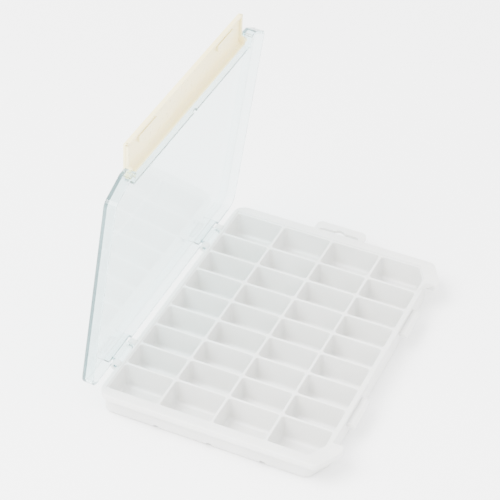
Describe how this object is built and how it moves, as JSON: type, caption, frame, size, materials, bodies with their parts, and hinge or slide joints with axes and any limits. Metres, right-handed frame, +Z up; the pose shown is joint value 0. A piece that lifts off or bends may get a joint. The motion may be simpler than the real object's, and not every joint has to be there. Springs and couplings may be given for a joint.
{
  "type": "compartment storage box",
  "caption": "Shallow translucent box with a grid of small cells, a hinged clear lid and an ivory latch bar along the lid's free edge, for sewing notions.",
  "frame": {"origin": "on the plane that the tray rests on, halfway between the front and back end walls, 72.5 mm inside the latch-side edge of the rim", "axes": "+Z up out of the open tray; +X from the hinge side to the latch side; +Y from the front end to the end with the hang tab"},
  "size_m": [0.1548, 0.2192, 0.1762],
  "materials": {
    "tray_plastic": "natural polypropylene, translucent white, satin",
    "lid_plastic": "clear polystyrene, glossy, faintly green at the edges",
    "latch_plastic": "ivory moulded plastic, semi-gloss"
  },
  "bodies": {
    "tray": {"back_wall": "tray_plastic", "catch_lug_back": "tray_plastic", "catch_lug_front": "tray_plastic", "collar_back": "tray_plastic", "collar_corner_back": "tray_plastic", "collar_corner_front": "tray_plastic", "collar_front": "tray_plastic", "collar_nose_back": "tray_plastic", "collar_nose_front": "tray_plastic", "column_divider_1": "tray_plastic", "column_divider_2": "tray_plastic", "column_divider_3": "tray_plastic", "corner_wall_back": "tray_plastic", "corner_wall_front": "tray_plastic", "front_wall": "tray_plastic", "hang_tab": "tray_plastic", "hinge_ear_back_inner": "tray_plastic", "hinge_ear_back_outer": "tray_plastic", "hinge_ear_front_inner": "tray_plastic", "hinge_ear_front_outer": "tray_plastic", "hinge_rim_back": "tray_plastic", "hinge_rim_front": "tray_plastic", "hinge_rim_middle": "tray_plastic", "hinge_wall": "tray_plastic", "latch_wall": "tray_plastic", "row_divider_1": "tray_plastic", "row_divider_2": "tray_plastic", "row_divider_3": "tray_plastic", "row_divider_4": "tray_plastic", "row_divider_5": "tray_plastic", "row_divider_6": "tray_plastic", "row_divider_7": "tray_plastic", "row_divider_8": "tray_plastic", "tray_floor": "tray_plastic"},
    "lid": {"hinge_knuckle_back": "lid_plastic", "hinge_knuckle_front": "lid_plastic", "lid_corner_back": "lid_plastic", "lid_corner_front": "lid_plastic", "lid_nose_back": "lid_plastic", "lid_nose_front": "lid_plastic", "lid_panel": "lid_plastic", "lid_skirt_back": "lid_plastic", "lid_skirt_front": "lid_plastic", "lid_skirt_hinge": "lid_plastic", "lid_skirt_latch": "lid_plastic"},
    "latch_bar": {"catch_rib_back": "latch_plastic", "catch_rib_front": "latch_plastic", "latch_cap_back": "latch_plastic", "latch_cap_front": "latch_plastic", "latch_lip": "latch_plastic", "latch_plate": "latch_plastic", "latch_web": "latch_plastic"}
  },
  "joints": [
    {"name": "lid_hinge", "type": "hinge", "parent": "tray", "child": "lid", "pos_m": [-0.0734, 0, 0.0166], "axis": [0, -1, 0], "range_deg": [-84.5, 10.5]},
    {"name": "latch_hinge", "type": "hinge", "parent": "lid", "child": "latch_bar", "pos_m": [-0.0661, 0, 0.15815], "axis": [0, -1, 0], "range_deg": [-97, 0]}
  ]
}
